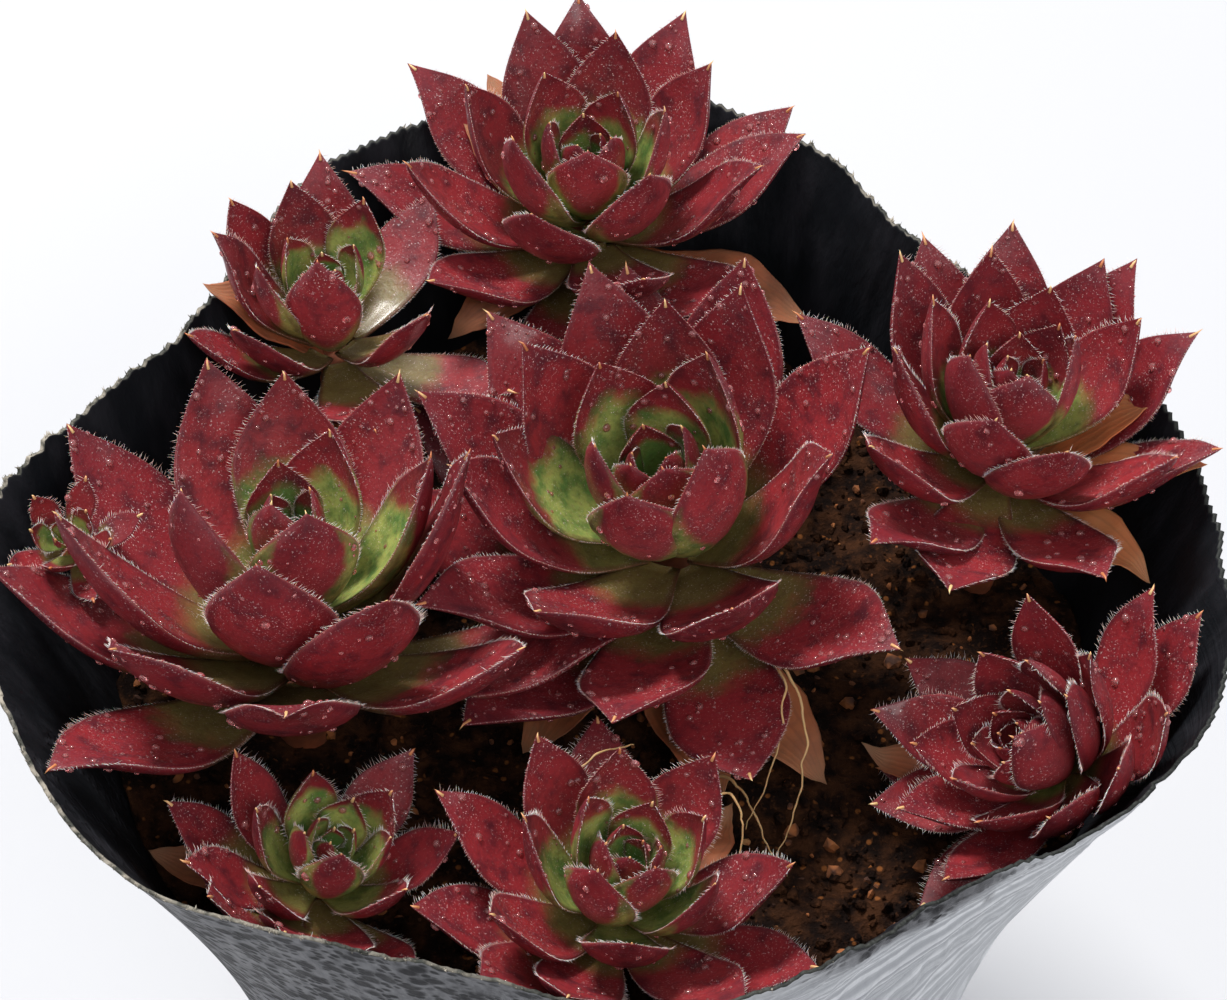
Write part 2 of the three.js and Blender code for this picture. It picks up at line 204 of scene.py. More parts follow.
# %% [markdown]
# ## The shape of one leaf
#
# A houseleek leaf is a fleshy blade: narrow at its foot, widest past the middle, and drawn out to a
# point. It rises from the core, bulges outwards and curves in again. So the middle line is a
# quadratic curve in the upright plane of the leaf, and each section across it is a lens whose two
# edges are lifted, like a cupped hand. The rosettes repeat the driving sizes of the construction
# model, so each surface lies where its solid is.

# %% Sizes of the pot and the rosettes
GOLDEN_ANGLE = 137.508
POT_HEIGHT, BASE_RADIUS, RIM_RADIUS, FLARE_POWER, SOLID_WALL = 105, 42, 62.5, 2, 1.2
RIM_LOBES = ((3, 4.5, -25), (4, 2.5, 5), (7, 1.5, -30))   # count, depth, direction of one lobe
SOIL_LEVEL, SOIL_LUMP, SOIL_HEAP = 79, 0.7, 2.4

# All heads grow by one rule. Leaves that are 0, 30, 60 and 100 hundredths of the way out have these
# slopes and these lengths against the reach. Open is how many degrees flatter the middle leaves of a
# head lie. Nudged gives the swing and the lift, in degrees, of leaves that stand out of line.
AGE_MARKS, RISE, GROW = (0, 0.3, 0.6, 1), (88, 66, 46, 14), (0.28, 0.73, 0.97, 1)
OPEN_SHARE = (0, 0, 1, 0)
ROSETTES = (
    dict(name="centre", at=(6, 6, 101), lean=(-0.15, -0.1), turn=185, hand=1, leaves=42, reach=31,
         open=0, crowded=(5, 9, 16, 17, 19, 30, 33, 38, 41),
         nudged={8: (0, 5), 11: (5, 0), 12: (5, 5), 13: (5, -10), 14: (5, 10), 15: (-5, -5), 18: (0, 5),
                 22: (10, 5), 27: (-5, 5), 28: (-10, 0), 36: (0, 5)}),
    dict(name="left", at=(-33, -4, 101), lean=(0, 0.25), turn=160, hand=-1, leaves=32, reach=32,
         open=0, crowded=(4, 5, 8, 12, 13, 19, 22, 24, 27, 29),
         nudged={7: (10, -5), 9: (0, -10), 11: (5, -5), 14: (20, 0), 15: (10, 0), 17: (10, 10),
                 20: (5, 5), 23: (0, 5), 26: (10, -5), 28: (5, 15), 31: (15, -10)}),
    dict(name="right", at=(44, 14, 106), lean=(0.1, 0.05), turn=285, hand=-1, leaves=42, reach=25,
         open=0, crowded=(5, 13, 18, 23, 27, 32, 33, 38, 39, 40, 41),
         nudged={10: (5, 10), 12: (-5, 10), 15: (-5, -5), 16: (0, -5), 24: (-5, -10), 26: (5, 0),
                 28: (10, 5), 29: (-5, -20), 30: (-10, 0), 31: (-10, -5), 37: (0, 5)}),
    dict(name="back", at=(-2, 51, 106), lean=(0, -0.05), turn=15, hand=-1, leaves=30, reach=26,
         open=5, crowded=(28, 29),
         nudged={10: (-5, -5), 16: (5, 0), 26: (-20, -10)}),
    dict(name="front", at=(2, -39, 94), lean=(0.15, 0), turn=35, hand=-1, leaves=32, reach=21,
         open=10, crowded=(18, 21, 23, 26, 27, 28, 29),
         nudged={13: (5, 0)}),
    dict(name="back_left", at=(-31, 32, 105), lean=(0, 0), turn=330, hand=1, leaves=22, reach=20,
         open=-5, crowded=(5, 8, 11, 16),
         nudged={6: (-15, -5), 9: (-10, 5), 10: (5, 20), 12: (0, 10), 15: (5, 10), 19: (-5, 0),
                 20: (15, -20)}),
    dict(name="tilted", at=(44, -25, 97), lean=(-0.8, -0.25), turn=160, hand=-1, leaves=36, reach=19,
         open=0, crowded=(16, 24, 28, 32, 33),
         nudged={12: (0, 15), 14: (5, 10), 17: (10, 10), 22: (-5, 15), 25: (0, -10), 27: (-10, -10),
                 30: (-5, -20)}),
    dict(name="front_left", at=(-28, -36, 93), lean=(0.3, 0), turn=105, hand=1, leaves=28, reach=16,
         open=5, crowded=(4, 13, 20, 21, 23, 26),
         nudged={9: (10, 10), 10: (0, 10), 27: (0, -10)}),
    dict(name="far_left", at=(-57, -2, 103), lean=(-0.05, -0.4), turn=10, hand=-1, leaves=14, reach=7.5,
         open=-5, crowded=(12,),
         nudged={}),
)

# %% Pot outline and peat surface


def rim_radius(angle):
    """Radius of the rim: a circle plus cosine lobes."""
    return RIM_RADIUS + sum(d * np.cos(n * (angle - math.radians(c))) for n, d, c in RIM_LOBES)


def pot_radius(angle, z):
    """Outer radius at a height: base radius plus the rim's excess times (z / height) squared."""
    share = np.clip(z / POT_HEIGHT, 0, None) ** FLARE_POWER
    return BASE_RADIUS + (rim_radius(angle) - BASE_RADIUS) * share


def smooth(x, low, high):
    """A step from 0 to 1 that eases in and out between low and high."""
    t = np.clip((x - low) / (high - low), 0, 1)
    return t * t * (3 - 2 * t)


def soil_top(x, y):
    """Height of the peat: a level, two crossing waves of lumps, and a heap at the front right."""
    lumps = np.sin(x / 6.5 + 1) * np.cos(y / 7.5) + 0.7 * np.sin((x - 1.6 * y) / 5)
    return SOIL_LEVEL + SOIL_LUMP * lumps + SOIL_HEAP * smooth(0.55 * x - 0.83 * y, 22, 50)


# %% [markdown]
# The bend of a leaf's middle line and its cup follow its age. Its width and thickness follow its
# size. The foot moves out and down the core as the leaf grows older.

# %% Leaf formula
BEND_AGES, BENDS = (0, 0.35, 0.6, 1), (16, 32, 28, 18)
WIDTH_SIZES, WIDTHS = (0.2, 0.6, 1), (0.33, 0.3, 0.215)
THICK_SIZES, THICKNESS = (0.2, 1), (0.03825, 0.085)
CUP_AGES, CUPS = (0, 0.5, 1), (0.45, 0.25, 0.12)
FOOT_NEAREST, FOOT_SPREAD, FOOT_DROP, FOOT_DROP_POWER = 0.05, 0.1, -0.42, 0.75
BLADE_FOOT, BLADE_WIDEST, BLADE_DRAW = 0.4, 0.58, 1.12
BELLY, FLESH_ABOVE, FLESH_BELOW, CURL_FROM = 0.55, 0.25, 0.7, 0.8
BEND_STEP, UPRIGHT, WALL_ROOM, PEAT_ROOM = 4, 88, 1, 0.8


def lean_matrix(lean):
    """The rotation that turns +Z straight onto the leaning axis."""
    axis = unit(np.array([*lean, 1.0]))
    cross = np.array([[0, 0, axis[0]], [0, 0, axis[1]], [-axis[0], -axis[1], 0]])
    return np.eye(3) + cross + cross @ cross / (1 + axis[2])


def blade_outline(s):
    """Half-width against the widest: a sine rise from the foot, then a fall to a drawn-out point."""
    rising = BLADE_FOOT + (1 - BLADE_FOOT) * np.sin(np.pi / 2 * np.clip(s / BLADE_WIDEST, 0, 1)) ** 1.15
    u = np.clip((s - BLADE_WIDEST) / (1 - BLADE_WIDEST), 0, 1)
    return np.where(s < BLADE_WIDEST, rising, (1 - u) ** BLADE_DRAW * (1 + BLADE_DRAW * u))


def leaf_shapes(rosette):
    """Size and posture of all the leaves of a rosette, youngest first, as arrays."""
    n = np.array([i for i in range(rosette["leaves"]) if i not in rosette["crowded"]])
    swing, lift = np.array([rosette["nudged"].get(int(i), (0, 0)) for i in n]).T
    age, reach = n / (rosette["leaves"] - 1), rosette["reach"]
    size = np.interp(age, AGE_MARKS, GROW)
    flatter = rosette["open"] * np.array(OPEN_SHARE)
    return dict(
        age=age, length=reach * size,
        turn=rosette["turn"] + rosette["hand"] * n * GOLDEN_ANGLE + swing,
        rise=np.interp(age, AGE_MARKS, np.array(RISE) - flatter) + lift,
        bend=np.interp(age, BEND_AGES, BENDS),
        width=reach * size * np.interp(size, WIDTH_SIZES, WIDTHS),
        thickness=reach * np.interp(size, THICK_SIZES, THICKNESS),
        cup=np.interp(age, CUP_AGES, CUPS),
        foot_radius=reach * (FOOT_NEAREST + FOOT_SPREAD * age),
        foot_height=FOOT_DROP * reach * age**FOOT_DROP_POWER,
        sway=np.zeros(len(n)), ripple=np.zeros(len(n)), curl=np.zeros(len(n)),
    )


def pick(shape, index):
    """The same shape values for chosen leaves, in the layout of an index array."""
    return {key: value[index] for key, value in shape.items()}


def leaf_point(rosette, shape, s, v):
    """Points on leaves. s runs from foot to tip and v once round the section.

    The middle line is a quadratic curve of radius and height. A section's half-width follows the
    outline, its depth a rounded taper, a quarter of it above the middle line and most of the rest
    below, and its edges are lifted by the cup times the square of the way out. Sway bends the
    blade sideways, ripple waves its edges, and curl bends the last fifth outwards.
    """
    rise, bend, turn = (np.radians(shape[key]) for key in ("rise", "bend", "turn"))
    foot = np.stack([shape["foot_radius"], shape["foot_height"]], -1)
    ray = lambda angle, length: np.stack([length * np.cos(angle), length * np.sin(angle)], -1)
    belly = foot + ray(rise - bend, BELLY * shape["length"])
    tip = foot + ray(rise, shape["length"])
    t = np.asarray(s)[..., None]
    middle = (1 - t) ** 2 * foot + 2 * t * (1 - t) * belly + t**2 * tip
    ahead = unit((1 - t) * (belly - foot) + t * (tip - belly))
    across, around = np.cos(v), np.sin(v)
    half_width = blade_outline(s) * shape["width"]
    depth = shape["thickness"] * np.maximum(1 - s**3, 0) ** 0.6 * (0.75 + 0.25 * np.sin(np.pi * s))
    swell = np.sign(around) * np.abs(around) ** 0.85
    up = np.where(around > 0, FLESH_ABOVE, FLESH_BELOW) * swell * depth
    up = up + shape["cup"] * half_width * across**2
    up = up + shape["ripple"] * half_width * across * np.sin(9 * s + 40 * shape["ripple"]) * s
    up = up - shape["curl"] * shape["length"] * np.clip(s - CURL_FROM, 0, None) ** 2 * 5
    side = across * half_width + shape["sway"] * shape["length"] * s**2
    radius = middle[..., 0] - ahead[..., 1] * up
    height = (middle[..., 1] + ahead[..., 0] * up) * np.ones_like(side)
    point = np.stack([*spun(radius, side, turn), height], -1)
    return point @ lean_matrix(rosette["lean"]).T + np.array(rosette["at"])


def settle(rosette, shape):
    """Bend each leaf that would meet the wall or the peat up, a step at a time, until it is clear."""
    s = np.array([0.2, 0.35, 0.5, 0.65, 0.8, 0.9, 0.97])[None, :, None]
    v = np.array([0, np.pi, 1.5 * np.pi])[None, None, :]
    for _ in range(22):
        p = leaf_point(rosette, pick(shape, np.arange(len(shape["rise"]))[:, None, None]), s, v)
        radius, angle, z = np.hypot(p[..., 0], p[..., 1]), np.arctan2(p[..., 1], p[..., 0]), p[..., 2]
        in_wall = (z < POT_HEIGHT + WALL_ROOM) & (radius > pot_radius(angle, z) - SOLID_WALL - WALL_ROOM)
        in_peat = z < soil_top(p[..., 0], p[..., 1]) + PEAT_ROOM
        touches = (in_wall | in_peat).any((1, 2)) & (shape["rise"] < UPRIGHT)
        if not touches.any():
            break
        shape["rise"] = shape["rise"] + BEND_STEP * touches
    return shape


# %% Leaves of each head, with small seeded differences
SWAY, RIPPLE, CURL = 0.03, 0.05, 0.45
LEAVES = {}
chance = np.random.default_rng(7)
for rosette in ROSETTES:
    shape = settle(rosette, leaf_shapes(rosette))
    count = len(shape["age"])
    shape["sway"] = chance.normal(0, SWAY, count) * smooth(shape["age"], 0.1, 0.4)
    shape["ripple"] = chance.normal(0, RIPPLE, count) * smooth(shape["age"], 0.1, 0.5)
    shape["curl"] = chance.uniform(0.0, CURL, count) * smooth(shape["age"], 0.2, 0.7)
    shape["tint"] = chance.uniform(0, 1, count)
    LEAVES[rosette["name"]] = shape
print("leaves:", {name: len(shape["age"]) for name, shape in LEAVES.items()})

# %% [markdown]
# ## A finish for living leaves
#
# The leaf is crimson where the sun reaches it and green where its neighbours shade it. On the face
# of a young leaf the green ends at a soft line half-way up. On its back a pink blotch narrows
# towards the foot between green edges. Old leaves turn olive brown at the foot. So the mesh carries,
# point by point, where on its leaf each point is, and the nodes mix the colours from that.

# %% Node helper


class Finish:
    """A material whose node graph is built by short calls; each call gives back its output socket."""

    def __init__(self, name):
        self.material = bpy.data.materials.new(name)
        self.material.use_nodes = True
        self.tree = self.material.node_tree
        self.shader = self.tree.nodes["Principled BSDF"]

    def plug(self, value, socket):
        """Link a socket to a socket, or set a plain value on it."""
        if isinstance(value, bpy.types.NodeSocket):
            self.tree.links.new(value, socket)
        elif isinstance(value, tuple) and len(value) == 3 and socket.type == "RGBA":
            socket.default_value = (*value, 1)
        else:
            socket.default_value = value

    def node(self, kind, *values, **settings):
        """A node with its settings, and its inputs filled in order."""
        node = self.tree.nodes.new(kind)
        for key, value in settings.items():
            setattr(node, key, value)
        for value, socket in zip(values, (i for i in node.inputs if i.enabled)):
            self.plug(value, socket)
        return node

    def value(self, key):
        """A value that the mesh carries at each point."""
        return self.node("ShaderNodeAttribute", attribute_name=key).outputs["Fac"]

    def math(self, operation, *values):
        """One arithmetic step."""
        return self.node("ShaderNodeMath", *values, operation=operation).outputs[0]

    def plus(self, first, second):
        """A sum."""
        return self.math("ADD", first, second)

    def minus(self, first, second):
        """A difference."""
        return self.math("SUBTRACT", first, second)

    def times(self, first, second):
        """A product."""
        return self.math("MULTIPLY", first, second)

    def step(self, value, low, high, start=0.0, end=1.0):
        """A smooth step between low and high."""
        eased = dict(interpolation_type="SMOOTHSTEP")
        return self.node("ShaderNodeMapRange", value, low, high, start, end, **eased).outputs["Result"]

    def mix(self, share, first, second):
        """A blend of two colours."""
        node = self.node("ShaderNodeMix", data_type="RGBA")
        self.plug(share, node.inputs["Factor"])
        self.plug(first, node.inputs[6])
        self.plug(second, node.inputs[7])
        return node.outputs[2]

    def over(self, base, colour, share, strength):
        """A colour laid over a base as strongly as the share times the strength."""
        return self.mix(self.times(share, strength), base, colour)

    def place(self, stretch=(1, 1, 1)):
        """The point's own place in the model. A stretch below one draws a pattern out."""
        coordinates = self.node("ShaderNodeTexCoord").outputs["Object"]
        return self.node("ShaderNodeMapping", coordinates, (0, 0, 0), (0, 0, 0), stretch).outputs[0]

    def noise(self, size_mm, detail=3.0, stretch=(1, 1, 1), roughness=0.55):
        """Noise with blobs of about this size in millimetres."""
        node = self.node("ShaderNodeTexNoise")
        self.plug(self.place(stretch), node.inputs["Vector"])
        node.inputs["Scale"].default_value = 1 / (size_mm * MM)
        node.inputs["Detail"].default_value = detail
        node.inputs["Roughness"].default_value = roughness
        return node.outputs["Fac"]

    def dots(self, spacing_mm, radius_mm, stretch=(1, 1, 1)):
        """One in the middle of scattered dots, zero between them."""
        node = self.node("ShaderNodeTexVoronoi")
        self.plug(self.place(stretch), node.inputs["Vector"])
        node.inputs["Scale"].default_value = 1 / (spacing_mm * MM)
        reach = radius_mm / spacing_mm
        return self.step(node.outputs["Distance"], reach * 0.5, reach, 1.0, 0.0)

    def bump(self, height, strength, depth_mm):
        """Relief from a height between zero and one."""
        node = self.node("ShaderNodeBump")
        node.inputs["Strength"].default_value = strength
        node.inputs["Distance"].default_value = depth_mm * MM
        self.plug(height, node.inputs["Height"])
        self.plug(node.outputs["Normal"], self.shader.inputs["Normal"])

    def set(self, **values):
        """Shader inputs by name, with _ for a space."""
        for key, value in values.items():
            self.plug(value, self.shader.inputs[key.replace("_", " ")])
        return self.material


def two_tone(name, patch_mm, colours, roughness, glow, glow_mm):
    """Two colours in soft patches, in a stuff that lets a little light through."""
    f = Finish(name)
    colour = f.mix(f.step(f.noise(patch_mm), 0.35, 0.65), *colours)
    f.set(Base_Color=colour, Roughness=roughness)
    return f.set(Subsurface_Weight=glow, Subsurface_Scale=glow_mm * MM)


# %% Leaf finish
CRIMSON, DARK_CRIMSON, PINK = (0.26, 0.021, 0.026), (0.078, 0.008, 0.014), (0.42, 0.085, 0.095)
GREEN, DEEP_GREEN, OLIVE = (0.32, 0.35, 0.09), (0.08, 0.16, 0.035), (0.14, 0.08, 0.027)
# The white of the specks stands for fine hair and for painted glints.
PALE_MARGIN, HAIR_AND_GLINT_WHITE = (0.4, 0.15, 0.13), (0.85, 0.7, 0.68)


def leaf_finish():
    """Crimson over green, by the place on the leaf, its side and its age."""
    f = Finish("houseleek_leaf")
    along, across, under = f.value("along"), f.value("across"), f.value("under")
    age, tint, shaded = f.value("age"), f.value("tint"), f.value("shaded")
    blotches, grain, patches = f.noise(2.6, 4.0), f.noise(0.5, 2.0), f.noise(5.0, 2.0)
    out = f.math("ABSOLUTE", across)

    # Where the green ends: on the face at a soft line, on the back along a blotch narrowing downwards.
    face_line = f.plus(f.times(out, -0.10), 0.56)
    back_line = f.plus(f.times(f.math("POWER", out, 1.6), 0.42), 0.26)
    line = f.node("ShaderNodeMix", under, face_line, back_line).outputs[0]
    line = f.plus(line, f.times(f.minus(blotches, 0.5), 0.22))
    waning = f.times(f.step(age, 0.35, 0.55, 1.0, 0.55), f.step(age, 0.2, 0.45, 1.3, 1.0))
    waning = f.times(waning, f.step(age, 0.68, 0.82, 1.0, 1.4))
    redness = f.step(f.minus(along, f.times(line, f.times(shaded, waning))), -0.07, 0.09)

    green = f.mix(f.step(blotches, 0.35, 0.7), GREEN, DEEP_GREEN)
    green = f.mix(f.step(age, 0.0, 0.16), DEEP_GREEN, green)
    green = f.mix(f.step(age, 0.35, 0.6, 0.0, 0.85), green, OLIVE)
    red = f.mix(f.step(blotches, 0.42, 0.75), CRIMSON, DARK_CRIMSON)
    blush = f.times(f.step(along, 0.9, 0.35), f.step(age, 0.62, 0.25))
    red = f.over(red, PINK, blush, f.plus(f.times(under, 0.5), 0.2))
    red = f.over(red, DARK_CRIMSON, f.step(along, 0.7, 1.0), 0.55)
    red = f.over(red, DARK_CRIMSON, tint, 0.35)
    colour = f.mix(redness, green, red)

    # A dark line just inside the margin, a pale one on it, and white specks that are partly fine hair and
    # partly painted glints.
    colour = f.over(colour, DARK_CRIMSON, f.step(out, 0.8, 0.93), 0.5)
    colour = f.over(colour, PALE_MARGIN, f.step(out, 0.975, 1.0), 0.35)
    colour = f.over(colour, DARK_CRIMSON, f.step(grain, 0.45, 0.75), 0.3)
    # White flakes and dots: partly the leaf's fine hair, partly painted glints of light.
    flakes = f.step(f.noise(0.22, 2.0, roughness=0.7), 0.6, 0.72)
    hair_and_glint_specks = f.math("MAXIMUM", f.times(f.dots(0.9, 0.1), 0.7), f.times(flakes, 0.6))
    colour = f.over(colour, HAIR_AND_GLINT_WHITE, hair_and_glint_specks, f.step(patches, 0.38, 0.6, 0.15, 0.9))
    f.bump(f.plus(grain, f.times(blotches, 1.5)), 0.5, 0.12)
    rough = f.step(blotches, 0.3, 0.7, 0.4, 0.55)
    return f.set(Base_Color=colour, Roughness=rough, Specular_IOR_Level=0.25, Coat_Roughness=0.12,
                 Coat_Weight=f.step(patches, 0.45, 0.6, 0.0, 0.32),
                 Subsurface_Weight=0.15, Subsurface_Scale=0.9 * MM)


LEAF_FINISH = leaf_finish()

# %% [markdown]
# ## Rosettes
#
# All the leaves of a head share one mesh: a grid of rings from foot to tip, closed at both ends.
# Doing all the leaves of a head in one array keeps the script quick and gives each point its place
# on its own leaf for the finish.

# %% Leaf meshes
RINGS, SIDES = 24, 18
RING_SHARE = 1 - np.linspace(1, 0, RINGS + 1)[:-1] ** 1.25
AROUND = once_round(SIDES)
SHADED = dict(centre=1.0, left=1.0, right=0.75, back=0.9, front=1.0, back_left=1.12, tilted=0.5,
              front_left=1.15, far_left=1.0)


def leaf_grid(rosette, shape):
    """Points of all leaves as closed lofts, and where on its leaf each point is."""
    leaf = np.arange(len(shape["age"]))[:, None, None]
    s, v = RING_SHARE[None, :, None], AROUND[None, None, :]
    body = leaf_point(rosette, pick(shape, leaf), s, v).reshape(len(leaf), -1, 3)
    ends = leaf_point(rosette, pick(shape, leaf[..., 0]), np.array([[0.0, 1.0]]), np.pi / 2)
    points = np.concatenate([body, ends], 1)
    one = np.ones(points.shape[:2])

    def spread(value, *at_ends):
        """The same value per ring point on every leaf, then those of the foot point and the tip point."""
        on_rings = np.broadcast_to(value, (len(leaf), RINGS, SIDES)).reshape(len(leaf), -1)
        return np.hstack([on_rings, np.tile(at_ends, (len(leaf), 1))])

    values = dict(
        along=spread(s, 0, 1), across=spread(np.cos(v), 0, 0),
        under=spread(smooth(-np.sin(v), -0.15, 0.15), 0, 0),
        age=one * shape["age"][:, None], tint=one * shape["tint"][:, None],
        shaded=one * SHADED[rosette["name"]],
    )
    return points.reshape(-1, 3), values


for rosette in ROSETTES:
    name = rosette["name"]
    points, values = leaf_grid(rosette, LEAVES[name])
    faces = tube_faces(len(LEAVES[name]["age"]), RINGS, SIDES)
    make_piece(f"leaves_{name}", points, faces, LEAF_FINISH, values, [f"rosette_{name}"])

# %% [markdown]
# ## Fringe and points
#
# A fine comb of white hairs stands along both edges of every leaf, and the leaf ends in a dry
# yellow spine. Hair of a plant this size is thick enough to be real mesh: each hair is a closed
# spike of four triangles, each spine a slender bent cone.

# %% Places on a leaf


def leaf_frame(rosette, shape, s, v):
    """A point on a leaf and three unit directions: to the tip, away from the middle line, off the face."""
    tiny = 0.004
    here = leaf_point(rosette, shape, s, v)
    ahead = leaf_point(rosette, shape, s + tiny, v) - leaf_point(rosette, shape, s - tiny, v)
    middle = (leaf_point(rosette, shape, s, np.pi / 2) + leaf_point(rosette, shape, s, 3 * np.pi / 2)) / 2
    beside = leaf_point(rosette, shape, s, v + tiny) - leaf_point(rosette, shape, s, v - tiny)
    return here, unit(ahead), unit(here - middle), unit(np.cross(beside, ahead))


def spikes(base, direction, side, radius, length):
    """Closed spikes with a three-cornered foot: points and faces."""
    ring = base[:, None] + radius[:, None, None] * circles(side, np.cross(direction, side), 3)
    tip = base + direction * length[:, None]
    points = np.concatenate([ring, tip[:, None]], 1).reshape(-1, 3)
    return points, [copies(np.array([(0, 2, 1), (0, 1, 3), (1, 2, 3), (2, 0, 3)]), len(base), 4)]


HAIR_SPACING, HAIR_LENGTH, HAIR_RADIUS, SPINE_START = 0.25, 0.95, 0.04, 0.975
HAIR_START, HAIR_REACH, HAIR_SINK = 0.14, 0.85, 0.06
HAIR_COLOURS = (0.84, 0.73, 0.69), (0.58, 0.33, 0.31)      # nearly white, pink
HORN_COLOURS = (0.78, 0.52, 0.24), (0.52, 0.18, 0.07)      # yellow, orange
HAIRY = dict(centre=0.55, left=0.9, right=0.8, back=0.6, front=0.75, back_left=0.8, tilted=0.9,
             front_left=0.95, far_left=0.8)


def fringe(rosette, shape):
    """Hairs along both edges of every leaf, slanting towards its tip."""
    per_edge = (shape["length"] * 0.9 / HAIR_SPACING).astype(int)
    leaf = np.repeat(np.arange(len(per_edge)), 2 * per_edge)
    order = np.concatenate([np.tile(np.arange(n), 2) / n for n in per_edge])
    edge = np.concatenate([np.repeat([0.0, np.pi], n) for n in per_edge])
    s = HAIR_START + HAIR_REACH * order + chance.uniform(-0.004, 0.004, len(leaf))
    here, ahead, out, off = leaf_frame(rosette, pick(shape, leaf), s, edge)
    lean = chance.normal(0, 1, (3, len(leaf), 1))
    direction = unit(out * (1 + 0.15 * lean[0]) + ahead * (0.4 + 0.25 * lean[1]) + off * 0.3 * lean[2])
    side = unit(np.cross(direction, off))
    grown = HAIR_LENGTH * HAIRY[rosette["name"]]
    tufts = 0.72 + 0.28 * np.sin(11 * s + 2.3 * leaf + edge)
    length = grown * tufts * chance.uniform(0.45, 1.4, len(leaf)) * smooth(s, 0.05, 0.4)
    return spikes(here - direction * HAIR_SINK, direction, side, np.full(len(leaf), HAIR_RADIUS), length)


def points_of_leaves(rosette, shape):
    """The dry spine on each leaf tip: a bent cone of two joined lengths."""
    count, sides = len(shape["age"]), 6
    tip, ahead, _, _ = leaf_frame(rosette, shape, np.full(count, SPINE_START), np.pi / 2)
    side = unit(np.cross(ahead, [0.3, 0.2, 1.0]))
    other = np.cross(ahead, side)
    length = np.clip(shape["length"] * 0.05, 0.4, 1.2) * chance.uniform(0.6, 1.2, count)
    bent = ahead + chance.normal(0, 0.22, (count, 1)) * side + chance.normal(0.1, 0.2, (count, 1)) * other
    bent, circle = unit(bent), circles(side, other, sides)
    middle = tip + ahead * (0.45 * length)[:, None]
    rings = [(tip - ahead * 0.35)[:, None] + circle * 0.2, middle[:, None] + circle * 0.12]
    ends = np.stack([tip - ahead * 0.45, middle + bent * (0.6 * length)[:, None]], 1)
    return np.concatenate([*rings, ends], 1).reshape(-1, 3), tube_faces(count, 2, sides)


HAIR_FINISH = two_tone("white_hair", 4.0, HAIR_COLOURS, 0.45, 0.3, 0.3)
SPINE_FINISH = two_tone("dry_spine", 5.0, HORN_COLOURS, 0.4, 0.2, 0.4)
for rosette in ROSETTES:
    name, shape = rosette["name"], LEAVES[rosette["name"]]
    points, faces = fringe(rosette, shape)
    make_piece(f"fringe_{name}", points, faces, HAIR_FINISH)
    points, faces = points_of_leaves(rosette, shape)
    make_piece(f"spines_{name}", points, faces, SPINE_FINISH)

# %% [markdown]
# ## Water
#
# The plant has just been sprayed. Drops stand on the waxy leaves as low domes, most of them small.
# Each is a closed lens of water, tinted pink as a painted glow of the red light it gathers from the leaf,
# whose flat side is sunk a hair's breadth into the leaf.

# %% Drops
# The pink of the water is a painted glow, not a colour of the water.
DROPS_PER_CM2, DROP_HEIGHT, PAINTED_GLOW_PINK = 13, 0.7, (1.0, 0.42, 0.42)
SMALLEST_DROP, DROP_SPREAD, ON_FACE = 0.15, 0.42, 0.7
BLADE_AREA = 1.3                             # of one side, against length times half-width


def drops(rosette, shape):
    """Low domes at random places on the faces and backs of the leaves."""
    faces_cm2 = BLADE_AREA * (shape["length"] * shape["width"]).sum() / 100
    count, rings, sides = int(DROPS_PER_CM2 * faces_cm2), 2, 8
    leaf = chance.choice(len(shape["age"]), count, p=shape["length"] ** 2 / (shape["length"] ** 2).sum())
    s = chance.uniform(0.4, 0.95, count)
    face_or_back = np.where(chance.uniform(0, 1, count) < ON_FACE, 1, -1)
    v = face_or_back * chance.uniform(0.35, np.pi - 0.35, count)
    here, ahead, _, off = leaf_frame(rosette, pick(shape, leaf), s, v)
    radius = SMALLEST_DROP + DROP_SPREAD * chance.power(0.45, count)
    out, up = np.array([(1.0, 0.7), (0.0, 0.7)])[:, None, :, None, None]
    circle = circles(ahead, np.cross(off, ahead), sides)[:, None]
    size = radius[:, None, None, None]
    ring = here[:, None, None] + size * (out * circle + DROP_HEIGHT * up * off[:, None, None])
    ends = np.stack([here - off * 0.04, here + off * DROP_HEIGHT * radius[:, None]], 1)
    points = np.concatenate([ring.reshape(count, -1, 3), ends], 1)
    return points.reshape(-1, 3), tube_faces(count, rings, sides)


def water_finish():
    """Water tinted pink, a painted glow of the red light a drop gathers from the leaf below; most light
    passes through.
    """
    f = Finish("water")
    return f.set(Base_Color=PAINTED_GLOW_PINK, Roughness=0.04, IOR=1.5, Transmission_Weight=0.86)


WATER_FINISH = water_finish()
for rosette in ROSETTES:
    points, faces = drops(rosette, LEAVES[rosette["name"]])
    make_piece(f"drops_{rosette['name']}", points, faces, WATER_FINISH)

# %% [markdown]
# ## The film pot
#
# A nursery pot of this kind is a bag of black film with a white, dusty outside, not a moulded cup.
# Its wall is under half a millimetre thick, it creases upright where it was folded flat, and its
# mouth was cut, so the rim is ragged. A solidify modifier would give every point the same wall, so
# the two faces are laid out here as one closed sheet: up the outside, over the cut edge, down the
# inside.

# %% Noise on arrays


def wave_noise(x, y, size, seed, octaves=3):
    """Smooth random waves: a grid of random values of this size, blended between its corners."""
    total, strength = 0.0, 1.0
    for octave in range(octaves):
        table = np.random.default_rng(seed + octave).uniform(-1, 1, (97, 89))
        u, w = np.asarray(x) / size + 40.5, np.asarray(y) / size + 40.5
        i, j = np.floor(u).astype(int), np.floor(w).astype(int)
        a, b = smooth(u - i, 0, 1), smooth(w - j, 0, 1)
        corner = lambda di, dj: table[(i + di) % 97, (j + dj) % 89]
        low = corner(0, 0) * (1 - a) + corner(1, 0) * a
        high = corner(0, 1) * (1 - a) + corner(1, 1) * a
        total = total + strength * (low * (1 - b) + high * b)
        strength, size = strength / 2, size / 2
    return total


